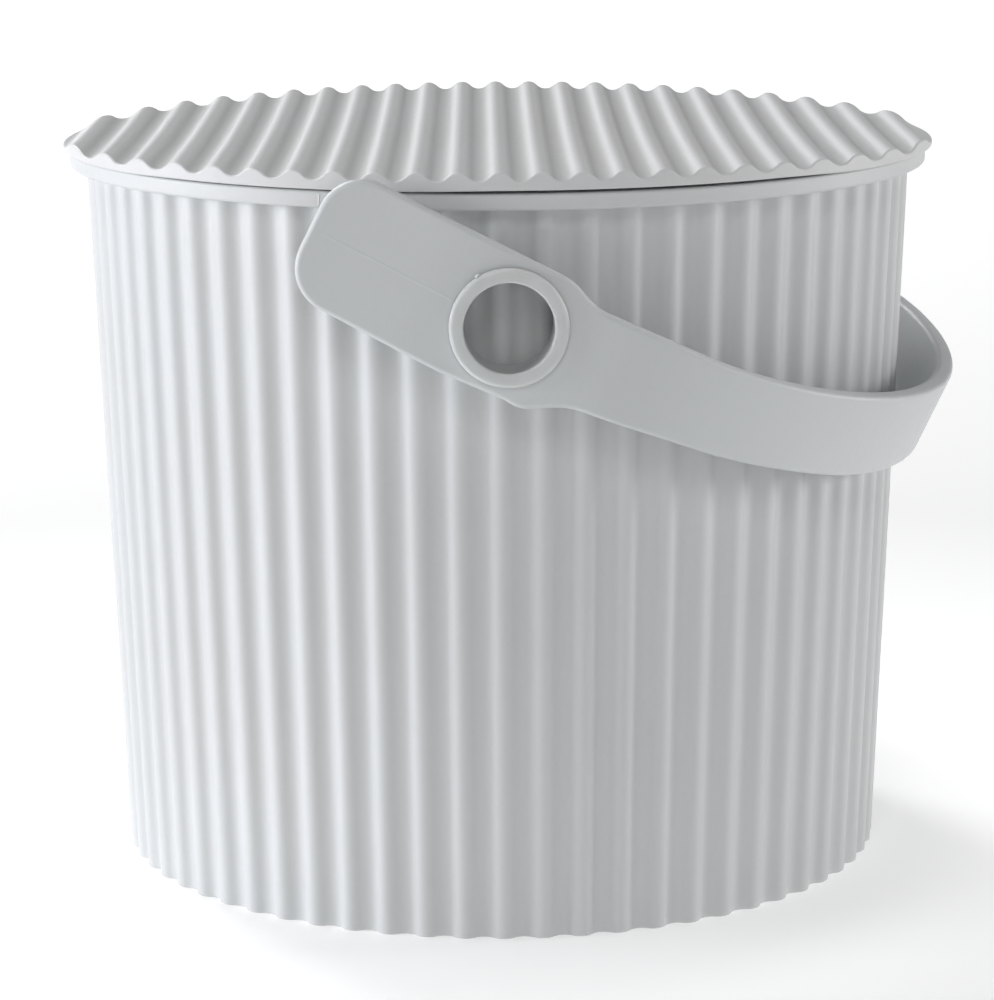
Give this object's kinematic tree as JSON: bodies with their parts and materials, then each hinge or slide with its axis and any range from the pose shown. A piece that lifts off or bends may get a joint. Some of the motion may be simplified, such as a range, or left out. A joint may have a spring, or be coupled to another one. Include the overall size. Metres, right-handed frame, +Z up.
{
  "type": "lidded bucket",
  "caption": "Round fluted plastic bucket with a corrugated lift-off lid and a flat swing handle on hollow pivot bushes, for carrying and storing household things.",
  "frame": {"origin": "centre of the base plane under the foot ring, on the bucket's axis", "axes": "+Z up along the bucket's axis; Y along the handle's pivot axis, with the pictured side facing -Y; +X towards the side the handle lies on"},
  "size_m": [0.2291, 0.2394, 0.1871],
  "materials": {
    "shell_plastic": "satin moulded polypropylene, cool light grey",
    "lid_plastic": "satin moulded polypropylene, cool light grey",
    "handle_plastic": "satin moulded polyethylene, cool light grey",
    "bush_plastic": "satin moulded polypropylene, cool light grey"
  },
  "bodies": {
    "bucket": {"bucket_shell": "shell_plastic", "pivot_bush_front": "bush_plastic", "pivot_bush_back": "bush_plastic"},
    "handle": {"handle": "handle_plastic"},
    "lid": {"lid": "lid_plastic"}
  },
  "joints": [
    {"name": "handle_swing", "type": "hinge", "parent": "bucket", "child": "handle", "pos_m": [0, 0, 0.1525], "axis": [0, -1, 0], "range_deg": [-2.2, 220]},
    {"name": "lid_lift", "type": "slide", "parent": "bucket", "child": "lid", "axis": [0, 0, 1], "range_m": [0, 0.25]}
  ]
}
